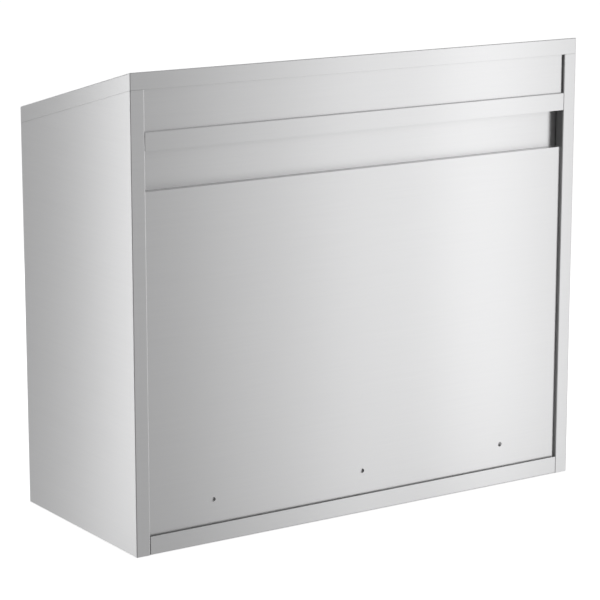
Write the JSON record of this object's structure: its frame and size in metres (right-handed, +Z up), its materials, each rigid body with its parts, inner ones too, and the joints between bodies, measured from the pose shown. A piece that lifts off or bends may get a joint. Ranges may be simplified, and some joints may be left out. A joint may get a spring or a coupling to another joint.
{
  "type": "uv sterilizer cabinet",
  "caption": "Wall-hung stainless cabinet with a sloping roof, a recessed hanger slot at the back, two glazed hinged doors, wire shelves and UV-C tubes.",
  "frame": {"origin": "on the wall plane, at the middle of the cabinet's bottom edge", "axes": "+X to the right seen from the front, +Y into the wall, +Z up; the doors open towards -Y"},
  "size_m": [0.9204, 0.421, 0.8025],
  "materials": {
    "casing_steel": "brushed, horizontal grain",
    "inner_steel": "mill finish",
    "shelf_wire": "bright plated wire",
    "reflector": "bright",
    "tube_glass": "clear quartz",
    "tube_cap": "satin",
    "white_plastic": "matt",
    "ballast_paint": "satin",
    "cable_sheath": "matt",
    "black_plastic": "fine texture",
    "rocker_plastic": "gloss",
    "knob_plastic": "fine texture",
    "turned_steel": "turned",
    "lens": "clear green",
    "plunger_plastic": "satin",
    "window_glass": "tinted, blocks UV",
    "seal_rubber": "matt",
    "handle_steel": "fine brushed",
    "hinge_steel": "satin",
    "screw_steel": "satin"
  },
  "bodies": {
    "cabinet": {"ballasts": "ballast_paint", "bottom_pan": "casing_steel", "ceiling_panel": "inner_steel", "centre_mullion": "casing_steel", "control_fascia": "casing_steel", "door_switch_cases": "black_plastic", "drip_tray": "inner_steel", "fascia_screws": "screw_steel", "fuse_holder": "black_plastic", "hanger_channel": "casing_steel", "hinge_frame_leaves": "hinge_steel", "hinge_frame_screws": "screw_steel", "hinge_pins": "turned_steel", "indicator_bezel": "turned_steel", "indicator_lens": "lens", "internal_wiring": "cable_sheath", "lamp_guard": "shelf_wire", "lamp_reflector": "reflector", "lampholders": "white_plastic", "lower_back_panel": "casing_steel", "magnetic_catches": "black_plastic", "power_inlet": "black_plastic", "rocker_housing": "black_plastic", "roof_joint_straps": "inner_steel", "roof_panel": "casing_steel", "shelf_clips": "inner_steel", "shelf_pilasters": "inner_steel", "side_panel_left": "casing_steel", "side_panel_right": "casing_steel", "starters": "white_plastic", "terminal_block": "white_plastic", "timer_body": "black_plastic", "tube_end_caps": "tube_cap", "upper_back_panel": "casing_steel", "uv_tubes": "tube_glass", "wire_shelves": "shelf_wire"},
    "door_left": {"door_skin_left": "casing_steel", "door_liner_left": "inner_steel", "door_window_left": "window_glass", "window_seal_left": "seal_rubber", "door_seal_left": "seal_rubber", "door_handle_left": "handle_steel", "catch_keeper_left": "turned_steel", "hinge_door_leaves_left": "hinge_steel", "hinge_door_screws_left": "screw_steel"},
    "switch_left": {"switch_plunger_left": "plunger_plastic"},
    "door_right": {"door_skin_right": "casing_steel", "door_liner_right": "inner_steel", "door_window_right": "window_glass", "window_seal_right": "seal_rubber", "door_seal_right": "seal_rubber", "door_handle_right": "handle_steel", "catch_keeper_right": "turned_steel", "hinge_door_leaves_right": "hinge_steel", "hinge_door_screws_right": "screw_steel"},
    "switch_right": {"switch_plunger_right": "plunger_plastic"},
    "rocker": {"power_rocker": "rocker_plastic"},
    "knob": {"timer_knob": "knob_plastic", "timer_shaft": "turned_steel"}
  },
  "joints": [
    {"name": "door_right_hinge", "type": "hinge", "parent": "cabinet", "child": "door_right", "pos_m": [0.4304, -0.3842, 0.31], "axis": [0, 0, 1], "range_deg": [0, 110]},
    {"name": "door_left_hinge", "type": "hinge", "parent": "cabinet", "child": "door_left", "pos_m": [-0.4304, -0.3842, 0.31], "axis": [0, 0, -1], "range_deg": [0, 110]},
    {"name": "switch_right_slide", "type": "slide", "parent": "cabinet", "child": "switch_right", "axis": [0, -1, 0], "range_m": [0, 0.003]},
    {"name": "switch_left_slide", "type": "slide", "parent": "cabinet", "child": "switch_left", "axis": [0, -1, 0], "range_m": [0, 0.003]},
    {"name": "rocker_tilt", "type": "hinge", "parent": "cabinet", "child": "rocker", "pos_m": [0.35, -0.377, 0.634], "axis": [-1, 0, 0], "range_deg": [0, 18]},
    {"name": "knob_turn", "type": "hinge", "parent": "cabinet", "child": "knob", "pos_m": [0.26, -0.39, 0.634], "axis": [0, 1, 0], "range_deg": [0, 300]}
  ],
  "couplings": [
    {"joint": "switch_right_slide", "follows": "door_right_hinge", "m_per_rad": 0.00156},
    {"joint": "switch_left_slide", "follows": "door_left_hinge", "m_per_rad": 0.00156}
  ]
}
